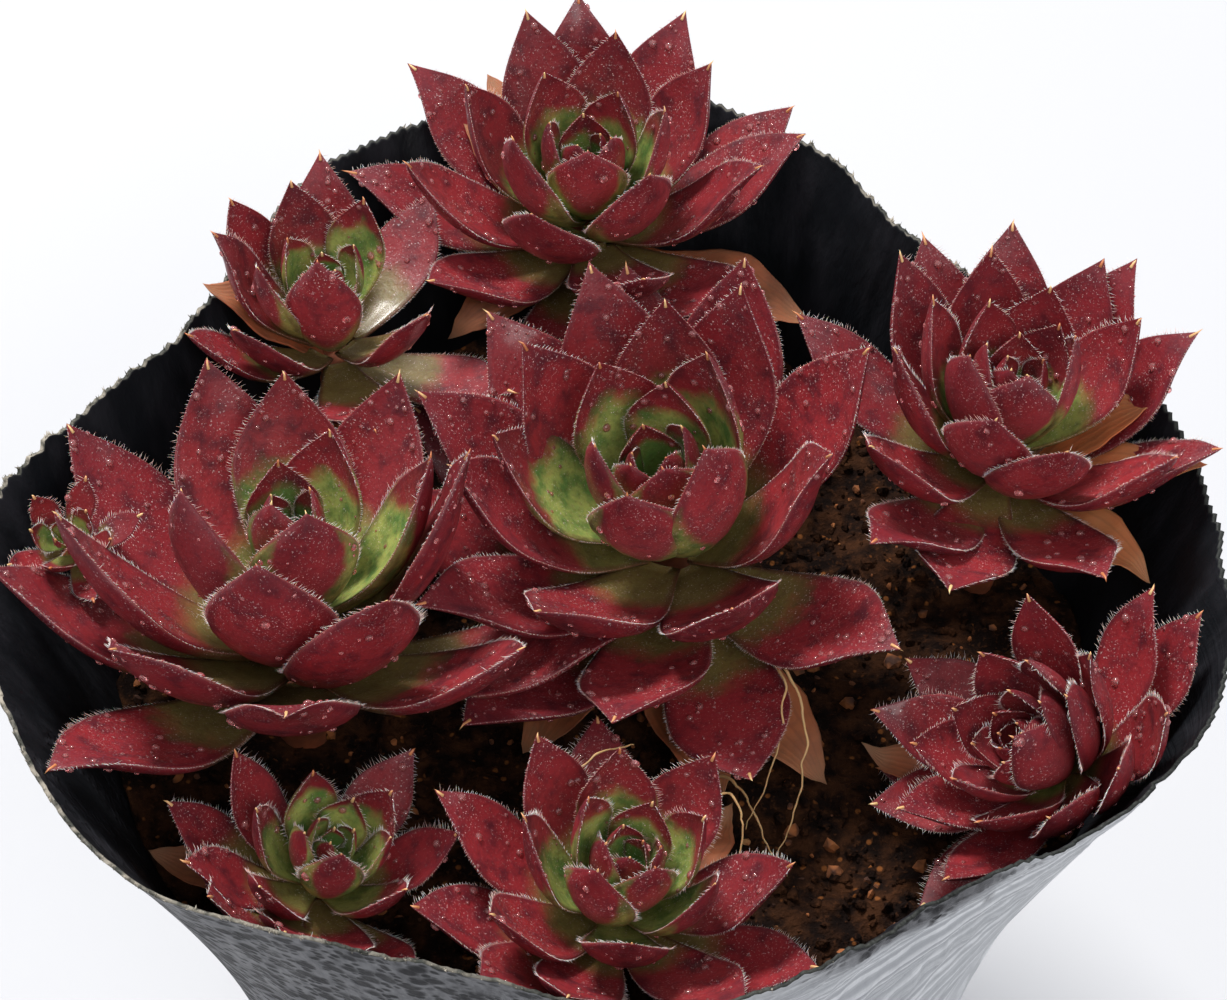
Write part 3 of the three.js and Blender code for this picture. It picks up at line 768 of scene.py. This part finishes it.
def sheet_faces(rows, columns):
    """Quads of a grid that closes on itself both ways."""
    row, column = np.arange(rows)[:, None] * columns, np.arange(columns)[None, :]
    below, after = (row + columns) % (rows * columns), (column + 1) % columns
    return np.stack([row + column, row + after, below + after, below + column], -1).reshape(-1, 4)


# %% Film wall
FILM, WALL_STEPS, WALL_COLUMNS, TEETH = 0.45, 26, 1200, 300
FRONT_LEFT, FRONT_RIGHT = math.radians(-118), math.radians(-58)
FAN_ROOT, FAN_START = math.radians(-33), 5.0
LONG_FOLD, FINE_FOLD, FAN_FOLD, FOLD_ROOM, CURL_ROOM = 1.4, 0.4, 0.9, 0.25, 0.2


def round_noise(angle, z, size, seed, octaves=3):
    """Noise round the pot that meets itself: read on a cylinder, as a blend of two side views."""
    x, y = RIM_RADIUS * np.cos(angle), RIM_RADIUS * np.sin(angle)
    view = lambda a, b, n: wave_noise(a + 0.3 * b, z + 0.2 * b, size, seed + n, octaves)
    share = np.abs(np.sin(angle))
    return view(x, y, 0) * share + view(y, x, 50) * (1 - share)


def bell(angle, middle, width):
    """One at the middle direction, falling off over the width on both sides."""
    away = np.angle(np.exp(1j * (angle - middle)))
    return np.exp(-(away / math.radians(width)) ** 2)


def fan_line(angle, z):
    """Slope of the line from the fan's root on the rim: the same all along one slanting crease."""
    along = RIM_RADIUS * np.abs(np.angle(np.exp(1j * (angle - FAN_ROOT)))) + FAN_START
    return np.arctan2(POT_HEIGHT + FAN_START - z, along)


def film_crease(angle, z):
    """Upright creases, deepest half-way up where the film is slack, and slanting ones at the right."""
    turned = angle - 0.1 * (z - POT_HEIGHT) / RIM_RADIUS
    slack = smooth(z, 2, 25) * (1 - 0.65 * smooth(z, 60, 85))
    long_folds = round_noise(turned, z / 14, 8, 11)
    fine_folds = round_noise(turned, z / 8, 2.6, 21)
    fan = bell(angle, FRONT_RIGHT, 26) * smooth(z, 60, 85)
    fan = fan * np.abs(wave_noise(fan_line(angle, z), 0 * z, 0.13, 17, 2))
    return slack * (LONG_FOLD * long_folds + FINE_FOLD * fine_folds) - FAN_FOLD * fan


def torn_film(angle):
    """How far the cut edge is torn into beige shreds: most at the left, some in front and behind."""
    left, front, back = bell(angle, math.pi, 45), bell(angle, FRONT_LEFT, 30), bell(angle, 1.0, 20)
    return np.clip(left + 0.35 * front + 0.5 * back, 0, 1)


def film_radius(angle, z):
    """Radius of the outer face: the pot's outline, creased, and curled a little along the rim."""
    curl = 0.35 * smooth(z, POT_HEIGHT - 4, POT_HEIGHT + 1) * round_noise(angle, 0 * z, 5, 41)
    crease = np.minimum(film_crease(angle, z), FOLD_ROOM)
    return pot_radius(angle, z) - FOLD_ROOM + crease + np.minimum(curl, CURL_ROOM)


def film_edge(angle):
    """Height of the cut edge: chips where it is torn, fine teeth where it isn't, and long waves."""
    torn = torn_film(angle)
    chips = (0.1 + 0.5 * torn) * round_noise(angle, 0 * angle, 0.8, 31, 2)
    teeth = 0.22 * (1 - torn) * np.cos(TEETH * angle)
    waves = 0.5 * round_noise(angle, 0 * angle, 9, 35, 2)
    return POT_HEIGHT + 0.2 + (chips + teeth) + waves


def film_wall():
    """The closed sheet: heights up the outside, over the ragged edge and down the inside."""
    angle = once_round(WALL_COLUMNS)
    rise = 1 - np.linspace(1, 0, WALL_STEPS) ** 1.8
    heights = rise[:, None] * film_edge(angle)[None, :]
    radius = film_radius(np.broadcast_to(angle, heights.shape), heights)
    radii = np.concatenate([radius, radius[::-1] - FILM])
    tall = np.concatenate([heights, np.maximum(heights, SOLID_WALL * 0.5)[::-1]])
    turned = np.broadcast_to(angle, radii.shape)
    outside, cut = np.ones_like(tall), np.zeros_like(tall)
    outside[WALL_STEPS:] = 0
    cut[WALL_STEPS - 1:WALL_STEPS + 1] = 1
    near_rim = smooth(tall, POT_HEIGHT - 14, POT_HEIGHT)
    worn = bell(turned, FRONT_LEFT, 42) + 0.85 * bell(turned, FRONT_RIGHT, 11) * near_rim
    values = dict(outside=outside, cut=cut, worn=worn, torn=torn_film(turned),
                  fan=fan_line(turned, tall), fanned=bell(turned, FRONT_RIGHT, 34))
    return polar(radii, angle, tall), values


FILM_WHITES = (0.5, 0.51, 0.53), (0.61, 0.62, 0.64)
FILM_GREYS = (0.12, 0.12, 0.127), (0.055, 0.055, 0.06)
FILM_BLACKS = (0.005, 0.006, 0.008), (0.013, 0.013, 0.017)
SMUDGE, STREAK, BARE_FILM = (0.26, 0.27, 0.29), (0.2, 0.21, 0.23), (0.012, 0.012, 0.014)
CUT_BLACK, SHRED_COLOURS = (0.02, 0.022, 0.02), ((0.05, 0.05, 0.04), (0.36, 0.32, 0.26))


def film_finish():
    """Dusty white outside, streaked and worn through in flecks, black inside, a beige torn edge."""
    f = Finish("pot_film")
    outside, cut, worn, torn = (f.value(key) for key in ("outside", "cut", "worn", "torn"))
    dust = f.noise(5.0, 5.0, (1, 1, 0.3))
    fine = f.noise(0.9, 3.0, (1, 1, 0.3))
    streak = f.node("ShaderNodeTexNoise", noise_dimensions="1D")
    f.plug(f.value("fan"), streak.inputs["W"])
    streak.inputs["Scale"].default_value = 26
    streak.inputs["Detail"].default_value = 4
    lines = f.times(f.step(streak.outputs["Fac"], 0.35, 0.6), f.value("fanned"))
    white = f.mix(f.step(dust, 0.3, 0.7), *FILM_WHITES)
    white = f.over(white, SMUDGE, f.step(fine, 0.45, 0.7), 0.22)
    white = f.over(white, STREAK, lines, 0.65)
    grey = f.mix(f.step(fine, 0.3, 0.7), *FILM_GREYS)
    white = f.mix(f.step(worn, 0.25, 0.75, 0.0, 0.94), white, grey)
    fleck = f.math("MAXIMUM", f.dots(2.4, 1.3), f.dots(1.3, 0.65))
    place = f.times(f.step(f.plus(f.times(worn, 0.45), dust), 0.68, 0.86), fleck)
    white = f.mix(place, white, BARE_FILM)
    black = f.mix(f.step(dust, 0.4, 0.7), *FILM_BLACKS)
    colour = f.mix(outside, black, white)
    shreds = f.mix(f.step(f.noise(2.0, 4.0), 0.4, 0.62), *SHRED_COLOURS)
    colour = f.mix(f.step(cut, 0.75, 1.0), colour, f.mix(torn, CUT_BLACK, shreds))
    relief = f.minus(f.plus(fine, f.times(dust, 2.0)), f.times(lines, 1.5))
    f.bump(f.minus(relief, f.times(place, 2.5)), 0.5, 0.3)
    return f.set(Base_Color=colour, Roughness=f.step(dust, 0.3, 0.7, 0.5, 0.7), Specular_IOR_Level=0.2)


FILM_FINISH = film_finish()
points, values = film_wall()
faces = sheet_faces(len(points), WALL_COLUMNS)
make_piece("film_wall", points.reshape(-1, 3), [faces], FILM_FINISH, values, ["pot"])

# %% [markdown]
# The pot's floor is a disc of the same film with six drain holes. Filling a flat outline with holes
# is what Blender's own triangle fill does best, so the disc is drawn as edges, filled, and given
# its thickness by extruding the face.

# %% Film floor
DRAIN_HOLES, DRAIN_RING, DRAIN_RADIUS = 6, 27, 3.5
DISC_RADIUS, DISC_THICKNESS = BASE_RADIUS - 0.9, 0.5
DISC_VALUES = dict(outside=1.0, cut=0.0, worn=0.3, torn=0.0, fan=1.0, fanned=0.0)


def add_loop(bm, x, y, radius, count):
    """A closed loop of edges in the plane z = 0."""
    turns = [2 * math.pi * k / count for k in range(count)]
    places = [(x + radius * math.cos(a), y + radius * math.sin(a)) for a in turns]
    verts = [bm.verts.new((across * MM, along * MM, 0)) for across, along in places]
    return [bm.edges.new((verts[k], verts[(k + 1) % count])) for k in range(count)]


bm = bmesh.new()
edges = add_loop(bm, 0, 0, DISC_RADIUS, 144)
for k in range(DRAIN_HOLES):
    turn = 2 * math.pi * k / DRAIN_HOLES
    edges += add_loop(bm, DRAIN_RING * math.cos(turn), DRAIN_RING * math.sin(turn), DRAIN_RADIUS, 32)
bmesh.ops.triangle_fill(bm, edges=edges, use_beauty=True)
grown = bmesh.ops.extrude_face_region(bm, geom=list(bm.faces))
lifted = [v for v in grown["geom"] if isinstance(v, bmesh.types.BMVert)]
bmesh.ops.translate(bm, verts=lifted, vec=(0, 0, DISC_THICKNESS * MM))
bmesh.ops.recalc_face_normals(bm, faces=list(bm.faces))
floor_film = bpy.data.meshes.new("film_floor")
bm.to_mesh(floor_film)
bm.free()
for key, level in DISC_VALUES.items():
    column = floor_film.attributes.new(key, "FLOAT", "POINT").data
    column.foreach_set("value", np.full(len(column), level))
floor_film.materials.append(FILM_FINISH)
base_piece = bpy.data.objects.new("film_floor", floor_film)
bpy.context.scene.collection.objects.link(base_piece)
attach(base_piece, "root")
print("film_floor:", len(floor_film.polygons), "faces with", DRAIN_HOLES, "drain holes")

# %% Torn shreds of film along the rim
SHREDS = 1500                                # tried places; those where the film is torn are kept
angle = chance.uniform(0, 2 * np.pi, SHREDS)
angle = angle[chance.uniform(0, 1, SHREDS) < torn_film(angle)]
count, edge = len(angle), film_edge(angle)
base = polar(film_radius(angle, edge) - FILM / 2, angle, edge - 0.3)
direction = unit(polar(0.2, angle, np.ones(count)) + chance.normal(0, 0.25, (count, 3)))
side = unit(np.cross(direction, [0.1, 0.2, 1.0]))
wide, tall = chance.uniform(0.08, 0.26, count), chance.uniform(0.5, 1.0, count)
points, faces = spikes(base, direction, side, wide, tall)
one = np.ones(len(points))
values = dict(outside=one, cut=one, worn=0 * one, torn=one, fan=one, fanned=0 * one)
make_piece("torn_rim", points, faces, FILM_FINISH, values)

# %% [markdown]
# ## Peat
#
# Potting peat is a dark fibrous crumb with bits of orange bark and brick-coloured grit. Its surface
# is one lumpy sheet closed underneath, and the crumbs and grit on it are small irregular stones,
# each an icosahedron whose corners are pushed about.

# %% Peat surface
SOIL_RINGS, SOIL_COLUMNS, SOIL_ROOM, SOIL_SLACK = 96, 400, 0.15, 1.0
WALL_LEVELS = (0.9, 12, 25, 38, 50, 61, 71)
CLOD_HEIGHT, CRUMB_HEIGHT, PEAT_SINK = 0.9, 0.35, 0.5
PEAT_BROWNS = (0.008, 0.004, 0.003), (0.05, 0.019, 0.008)
PEAT_FIBRE, PEAT_CHIP = (0.09, 0.034, 0.014), (0.26, 0.09, 0.025)


def peat_top(x, y):
    """The peat's height with clods and crumbs from coarse and fine noise."""
    clods, crumbs = wave_noise(x, y, 5.0, 51), np.abs(wave_noise(x, y, 1.4, 61))
    return soil_top(x, y) + CLOD_HEIGHT * clods + CRUMB_HEIGHT * crumbs - PEAT_SINK


def peat_block():
    """A block: from the floor up beside the wall, then in over the lumpy top to the middle."""
    angle = once_round(SOIL_COLUMNS)
    share = np.linspace(1, 0, SOIL_RINGS + 1)[:-1][:, None]
    edge = film_radius(angle, np.full(SOIL_COLUMNS, SOIL_LEVEL)) - FILM - SOIL_ROOM
    x, y = share * edge * np.cos(angle), share * edge * np.sin(angle)
    top = np.stack([x, y, peat_top(x, y)], -1)
    levels = np.tile(np.array(WALL_LEVELS)[:, None], SOIL_COLUMNS)
    side = polar(film_radius(angle[None, :], levels) - FILM - SOIL_ROOM - SOIL_SLACK, angle, levels)
    ends = np.array([[0, 0, WALL_LEVELS[0]], [0, 0, peat_top(0.0, 0.0)]])
    points = np.concatenate([side.reshape(-1, 3), top.reshape(-1, 3), ends])
    return points, tube_faces(1, len(levels) + SOIL_RINGS, SOIL_COLUMNS)


def peat_finish():
    """Dark brown with rusty fibres, matt, with a fine deep relief."""
    f = Finish("peat")
    clods, fibre = f.noise(3.0, 5.0), f.noise(0.6, 4.0)
    colour = f.mix(f.step(clods, 0.38, 0.66), *PEAT_BROWNS)
    colour = f.over(colour, PEAT_FIBRE, f.step(fibre, 0.55, 0.7), 0.5)
    colour = f.over(colour, PEAT_CHIP, f.dots(2.2, 0.4), 0.8)
    f.bump(f.plus(f.times(clods, 2.0), fibre), 0.9, 0.6)
    return f.set(Base_Color=colour, Roughness=0.95, Specular_IOR_Level=0.1)


PEAT_FINISH = peat_finish()
points, faces = peat_block()
make_piece("peat", points, faces, PEAT_FINISH, None, ["soil"])

# %% Crumbs and grit
CRUMBS, GRIT = 3400, 420
DARK_GRIT, BRICK, BARK = (0.06, 0.022, 0.012), (0.34, 0.11, 0.03), (0.46, 0.22, 0.08)


def icosahedron():
    """Corners and faces of a unit icosahedron."""
    g = (1 + math.sqrt(5)) / 2
    corners = np.array([(-1, g, 0), (1, g, 0), (-1, -g, 0), (1, -g, 0), (0, -1, g), (0, 1, g),
                        (0, -1, -g), (0, 1, -g), (g, 0, -1), (g, 0, 1), (-g, 0, -1), (-g, 0, 1)])
    near = np.linalg.norm(corners[:, None] - corners[None], axis=2) < 2.1
    faces = np.array([f for f in combinations(range(12), 3) if near[np.ix_(f, f)].all()])
    a, b, c = (corners[faces[:, k]] for k in range(3))
    inward = (np.cross(b - a, c - a) * a).sum(1) < 0
    faces[inward] = faces[inward][:, [0, 2, 1]]
    return corners / math.hypot(1, g), faces


def stones(count, smallest, largest, flat, reach):
    """Irregular stones lying on the peat, a little sunk, out to a share of the pot's radius."""
    corners, faces = icosahedron()
    angle, far = chance.uniform(0, 2 * np.pi, count), np.sqrt(chance.uniform(0, 1, count)) * reach
    radius = far * (film_radius(angle, np.full(count, SOIL_LEVEL)) - FILM - 1.5)
    x, y = radius * np.cos(angle), radius * np.sin(angle)
    size = smallest + (largest - smallest) * chance.power(0.4, count)
    shape = corners[None] * (1 + chance.uniform(-0.28, 0.28, (count, 12, 1)))
    shape = shape * chance.uniform(flat, 1.0, (count, 1, 3))
    spin = chance.uniform(0, 2 * np.pi, count)[:, None]
    turned = np.stack([*spun(shape[..., 0], shape[..., 1], spin), shape[..., 2]], -1)
    points = turned * size[:, None, None] + np.stack([x, y, peat_top(x, y) + 0.2 * size], -1)[:, None]
    return points.reshape(-1, 3), [copies(faces, count, len(corners))]


def grit_finish():
    """Bits of orange bark and brick-coloured grit, no two alike."""
    f = Finish("grit")
    tone = f.noise(2.5, 2.0)
    colour = f.mix(f.step(tone, 0.35, 0.6), DARK_GRIT, BRICK)
    colour = f.mix(f.step(tone, 0.6, 0.72), colour, BARK)
    f.bump(f.noise(0.4), 0.5, 0.15)
    return f.set(Base_Color=colour, Roughness=0.85)


points, faces = stones(CRUMBS, 0.25, 1.2, 0.5, 1.0)
make_piece("peat_crumbs", points, faces, PEAT_FINISH, smooth_shaded=False)
points, faces = stones(GRIT, 0.3, 1.3, 0.45, 1.0)
make_piece("grit", points, faces, grit_finish(), smooth_shaded=False)

# %% [markdown]
# ## Stems, withered leaves and straw
#
# Under each head the oldest leaves have dried on the stem. A dried leaf is the same blade gone
# limp: thin, narrow, crinkled and rolled. The stem is ringed with the scars of leaves that fell.

# %% Withered leaves
WITHERED = dict(
    centre=((-80, -5, 28), (-60, -5, 30), (-125, -5, 26), (-10, -5, 20)),
    left=((-175, -5, 26),),
    right=((-30, 0, 26), (5, 10, 22), (-50, -5, 22)),
    back=((-15, 0, 28), (125, 20, 26), (145, 15, 24), (-150, -5, 20)),
    front=((55, -5, 21), (-10, -5, 18)),
    back_left=((180, 5, 20),),
    tilted=((150, -5, 18),),
    front_left=((160, 0, 20),),
    far_left=(),
)                                            # direction, slope and length of each
RUST, LITTLE_RUST = dict(right=1.0, centre=0.4, back=0.35), 0.3
LIMP_BEND, LIMP_WIDTH, LIMP_THICKNESS, LIMP_CUP, LIMP_FOOT = -14, 0.17, 0.9, 0.2, -0.53
DRY_BROWNS, DRY_RUSTS = ((0.1, 0.024, 0.011), (0.3, 0.075, 0.026)), ((0.62, 0.13, 0.03), (0.45, 0.22, 0.09))
DRY_VEIN, DRY_TIP = (0.07, 0.025, 0.012), (0.36, 0.22, 0.12)


def withered_shapes(rosette, rows):
    """Postures of the withered leaves of a head: direction, slope and length of each."""
    turn, rise, length = (np.array(column, float) for column in zip(*rows))
    same = lambda value: np.full(len(turn), float(value))
    shape = dict(
        age=same(1), length=length, turn=turn, rise=rise, bend=same(LIMP_BEND),
        width=LIMP_WIDTH * length, thickness=same(LIMP_THICKNESS), cup=same(LIMP_CUP),
        foot_radius=same(0), foot_height=same(LIMP_FOOT * rosette["reach"]),
        sway=chance.normal(0, 0.05, len(turn)), ripple=chance.normal(0, 0.25, len(turn)),
        curl=chance.uniform(-0.6, 0.2, len(turn)), tint=same(RUST.get(rosette["name"], LITTLE_RUST)),
    )
    return settle(rosette, shape)


def dry_finish():
    """Dried leaf: rust and straw with dark lengthwise veins."""
    f = Finish("dry_leaf")
    along, across, tint = f.value("along"), f.value("across"), f.value("tint")
    stain, veins = f.noise(4.0, 4.0), f.math("SINE", f.times(across, 22.0))
    colour = f.mix(f.step(stain, 0.35, 0.65), *DRY_BROWNS)
    colour = f.over(colour, f.mix(f.noise(7.0), *DRY_RUSTS), tint, 0.85)
    colour = f.over(colour, DRY_VEIN, f.step(veins, 0.3, 1.0), 0.18)
    colour = f.over(colour, DRY_TIP, f.step(along, 0.75, 1.0), 0.4)
    f.bump(f.plus(stain, f.times(veins, 0.05)), 0.7, 0.4)
    return f.set(Base_Color=colour, Roughness=0.7, Subsurface_Weight=0.25, Subsurface_Scale=0.8 * MM)


DRY_FINISH = dry_finish()
for rosette in ROSETTES:
    name = rosette["name"]
    rows = WITHERED[name]
    if not rows:
        continue
    upright = {**rosette, "lean": (0, 0)}
    points, values = leaf_grid(upright, withered_shapes(upright, rows))
    x, y, z = points.T
    crinkles = [wave_noise(y, z, 3.0, 71), wave_noise(x, z, 3.0, 81), wave_noise(x, y, 3.0, 91)]
    points, faces = points + 0.35 * np.stack(crinkles, -1), tube_faces(len(rows), RINGS, SIDES)
    make_piece(f"withered_{name}", points, faces, DRY_FINISH, values)

# %% Stems
STEM_PER_REACH, STEM_THINNEST, STEM_DEPTH, FARTHEST_ROOT, CLEARANCE = 0.085, 1.6, 11, 46, 0.35
STEM_SIDES, STEM_ALONG, STEM_TINT = 16, 0.4, 0.1


def tube(path, radius, sides, wobble=0.0, seed=0):
    """A closed tube along a path of points: rings square to the path, with rough walls."""
    tangent = unit(np.gradient(path, axis=0))
    side = unit(np.cross(tangent, [0.31, 0.87, 0.11]))
    across = 3 * np.cos(once_round(sides))
    rough = 1 + wobble * wave_noise(np.arange(len(path))[:, None], across[None, :], 1.7, seed)
    wide = (radius * np.ones(len(path)))[:, None] * rough
    ring = path[:, None] + wide[..., None] * circles(side, np.cross(tangent, side), sides)
    ends = np.stack([path[0] - tangent[0] * 0.2, path[-1] + tangent[-1] * 0.2])
    return np.concatenate([ring.reshape(-1, 3), ends])


def bezier(a, b, c, d, steps):
    """Points on the cubic curve from a to d."""
    t = np.linspace(0, 1, steps)[:, None]
    return (1 - t) ** 3 * a + 3 * t * (1 - t) ** 2 * b + 3 * t**2 * (1 - t) * c + t**3 * d


def stem_path(rosette):
    """From the head's underside down along its axis, then straight into the peat."""
    axis = lean_matrix(rosette["lean"]) @ np.array([0, 0, 1.0])
    head = np.array(rosette["at"]) - axis * (0.46 * rosette["reach"] + CLEARANCE - 1.5)
    below = head - axis * 0.15 * rosette["reach"]
    inward = min(1, FARTHEST_ROOT / math.hypot(below[0], below[1]))
    root = np.array([below[0] * inward, below[1] * inward, SOIL_LEVEL - STEM_DEPTH])
    return bezier(head, below * 0.7 + head * 0.3, root + [0, 0, STEM_DEPTH + 4], root, 26)


for seed, rosette in enumerate(ROSETTES):
    path = stem_path(rosette)
    scars = 1 + 0.08 * np.sin(np.arange(len(path)) * 1.9)
    radius = max(STEM_THINNEST, STEM_PER_REACH * rosette["reach"]) * scars
    points, faces = tube(path, radius, STEM_SIDES, 0.12, seed), tube_faces(1, len(path), STEM_SIDES)
    one, name = np.ones(len(points)), rosette["name"]
    values = dict(along=STEM_ALONG * one, across=0 * one, tint=STEM_TINT * one)
    make_piece(f"stem_wood_{name}", points, faces, DRY_FINISH, values, [f"stem_{name}"])

# %% Straw
STRAW_SIDES, STRAW_RADIUS, STRAW_COLOURS = 8, 0.17, ((0.62, 0.40, 0.18), (0.38, 0.20, 0.08))
STRAW = [                                    # the four knots of each blade's curve
    ((17, -9, 92), (21, -14, 96), (19, -20, 93), (15, -27, 86)),
    ((19, -12, 94), (24, -18, 90), (20, -24, 88), (18, -30, 84)),
    ((10, -26, 88), (14, -24, 93), (16, -29, 90), (13, -33, 84)),
    ((-8, -29, 92), (-4, -26, 96), (0, -25, 97), (3, -22, 94)),
    ((11, -18, 84), (16, -22, 88), (15, -27, 87), (19, -31, 83)),
]


def straw_finish():
    """Pale and darker straw in patches."""
    f = Finish("straw")
    colour = f.mix(f.noise(3.0), *STRAW_COLOURS)
    return f.set(Base_Color=colour, Roughness=0.6, Subsurface_Weight=0.2, Subsurface_Scale=0.3 * MM)


STRAW_FINISH = straw_finish()
for number, knots in enumerate(STRAW):
    path = bezier(*np.array(knots, float), 40)
    kinks = [wave_noise(path[:, 2], path[:, 1], 2.5, 101 + number + n) for n in range(3)]
    path = path + 0.35 * np.stack(kinks, -1)
    points = tube(path, STRAW_RADIUS * np.linspace(1, 0.4, len(path)), STRAW_SIDES, 0.3, number)
    make_piece(f"straw_{number}", points, tube_faces(1, len(path), STRAW_SIDES), STRAW_FINISH)
